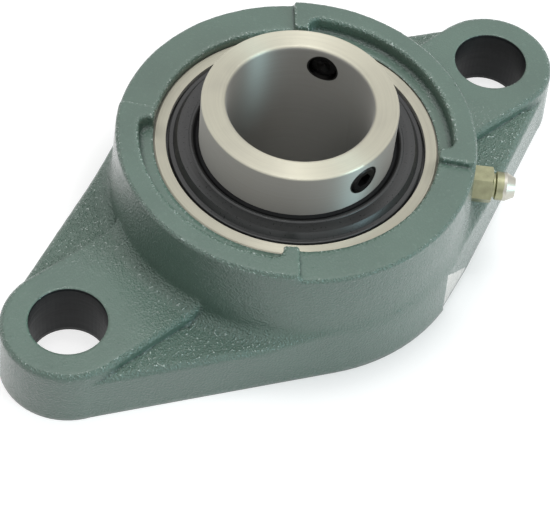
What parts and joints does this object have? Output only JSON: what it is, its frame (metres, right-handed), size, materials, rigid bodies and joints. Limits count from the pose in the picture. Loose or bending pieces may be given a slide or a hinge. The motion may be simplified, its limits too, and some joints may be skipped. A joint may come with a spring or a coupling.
{
  "type": "flange bearing unit",
  "caption": "Oval flange bearing unit: painted cast housing with a self-aligning ball bearing insert, set screws and a grease nipple, for a round shaft.",
  "frame": {"origin": "on the shaft axis in the plane of the mounting face, midway between the bolt holes", "axes": "+Z along the shaft axis, out of the front where the set screws are; +X along the line of the bolt holes, towards the ear on the nipple's side"},
  "size_m": [0.1456, 0.0785, 0.0402],
  "materials": {
    "green_paint": "semi-gloss grey-green paint over rough cast iron",
    "ring_steel": "ground satin",
    "ball_steel": "polished",
    "cage_steel": "pressed sheet",
    "seal_plate": "dark grey, satin",
    "seal_rubber": "matt black",
    "black_steel": "black oxide steel",
    "nipple_zinc": "yellow zinc"
  },
  "bodies": {
    "housing": {"housing": "green_paint", "grease_nipple": "nipple_zinc", "nipple_spring": "cage_steel"},
    "outer_ring": {"outer_ring": "ring_steel", "seal_plate_front": "seal_plate", "seal_plate_back": "seal_plate", "seal_lip_front": "seal_rubber", "seal_lip_back": "seal_rubber"},
    "inner_ring": {"inner_ring": "ring_steel"},
    "cage": {"cage_front": "cage_steel", "cage_back": "cage_steel", "cage_rivets": "cage_steel"},
    "set_screw_1": {"set_screw_1": "black_steel"},
    "set_screw_2": {"set_screw_2": "black_steel"},
    "check_ball": {"nipple_check_ball": "ball_steel"},
    "ball_1": {"ball_1": "ball_steel"},
    "ball_2": {"ball_2": "ball_steel"},
    "ball_3": {"ball_3": "ball_steel"},
    "ball_4": {"ball_4": "ball_steel"},
    "ball_5": {"ball_5": "ball_steel"},
    "ball_6": {"ball_6": "ball_steel"},
    "ball_7": {"ball_7": "ball_steel"},
    "ball_8": {"ball_8": "ball_steel"},
    "ball_9": {"ball_9": "ball_steel"}
  },
  "joints": [
    {"name": "insert_tilt", "type": "hinge", "parent": "housing", "child": "outer_ring", "pos_m": [0, 0, 0.018], "axis": [0, 1, 0], "range_deg": [-2, 2]},
    {"name": "inner_ring_spin", "type": "hinge", "parent": "outer_ring", "child": "inner_ring", "pos_m": [0, 0, 0.018], "axis": [0, 0, 1], "continuous": true},
    {"name": "cage_spin", "type": "hinge", "parent": "outer_ring", "child": "cage", "pos_m": [0, 0, 0.018], "axis": [0, 0, 1], "continuous": true},
    {"name": "ball_1_spin", "type": "hinge", "parent": "cage", "child": "ball_1", "pos_m": [0.023, 0, 0.018], "axis": [0, 0, 1], "continuous": true},
    {"name": "ball_2_spin", "type": "hinge", "parent": "cage", "child": "ball_2", "pos_m": [0.01762, 0.01478, 0.018], "axis": [0, 0, 1], "continuous": true},
    {"name": "ball_3_spin", "type": "hinge", "parent": "cage", "child": "ball_3", "pos_m": [0.00399, 0.02265, 0.018], "axis": [0, 0, 1], "continuous": true},
    {"name": "ball_4_spin", "type": "hinge", "parent": "cage", "child": "ball_4", "pos_m": [-0.0115, 0.01992, 0.018], "axis": [0, 0, 1], "continuous": true},
    {"name": "ball_5_spin", "type": "hinge", "parent": "cage", "child": "ball_5", "pos_m": [-0.02161, 0.00787, 0.018], "axis": [0, 0, 1], "continuous": true},
    {"name": "ball_6_spin", "type": "hinge", "parent": "cage", "child": "ball_6", "pos_m": [-0.02161, -0.00787, 0.018], "axis": [0, 0, 1], "continuous": true},
    {"name": "ball_7_spin", "type": "hinge", "parent": "cage", "child": "ball_7", "pos_m": [-0.0115, -0.01992, 0.018], "axis": [0, 0, 1], "continuous": true},
    {"name": "ball_8_spin", "type": "hinge", "parent": "cage", "child": "ball_8", "pos_m": [0.00399, -0.02265, 0.018], "axis": [0, 0, 1], "continuous": true},
    {"name": "ball_9_spin", "type": "hinge", "parent": "cage", "child": "ball_9", "pos_m": [0.01762, -0.01478, 0.018], "axis": [0, 0, 1], "continuous": true},
    {"name": "set_screw_1_feed", "type": "slide", "parent": "inner_ring", "child": "set_screw_1", "axis": [0, 1, 0], "range_m": [-0.003, 0.0006]},
    {"name": "set_screw_2_feed", "type": "slide", "parent": "inner_ring", "child": "set_screw_2", "axis": [-0.866, -0.5, 0], "range_m": [-0.003, 0.0006]},
    {"name": "check_ball_press", "type": "slide", "parent": "housing", "child": "check_ball", "axis": [-0.7071, 0.7071, 0], "range_m": [0, 0.001], "stiffness_N_per_m": 300, "springref_m": -0.001, "deforming": ["nipple_spring"]}
  ],
  "couplings": [
    {"joint": "cage_spin", "follows": "inner_ring_spin", "ratio": 0.39647},
    {"joint": "ball_1_spin", "follows": "inner_ring_spin", "ratio": -2.3112},
    {"joint": "ball_2_spin", "follows": "inner_ring_spin", "ratio": -2.3112},
    {"joint": "ball_3_spin", "follows": "inner_ring_spin", "ratio": -2.3112},
    {"joint": "ball_4_spin", "follows": "inner_ring_spin", "ratio": -2.3112},
    {"joint": "ball_5_spin", "follows": "inner_ring_spin", "ratio": -2.3112},
    {"joint": "ball_6_spin", "follows": "inner_ring_spin", "ratio": -2.3112},
    {"joint": "ball_7_spin", "follows": "inner_ring_spin", "ratio": -2.3112},
    {"joint": "ball_8_spin", "follows": "inner_ring_spin", "ratio": -2.3112},
    {"joint": "ball_9_spin", "follows": "inner_ring_spin", "ratio": -2.3112}
  ]
}
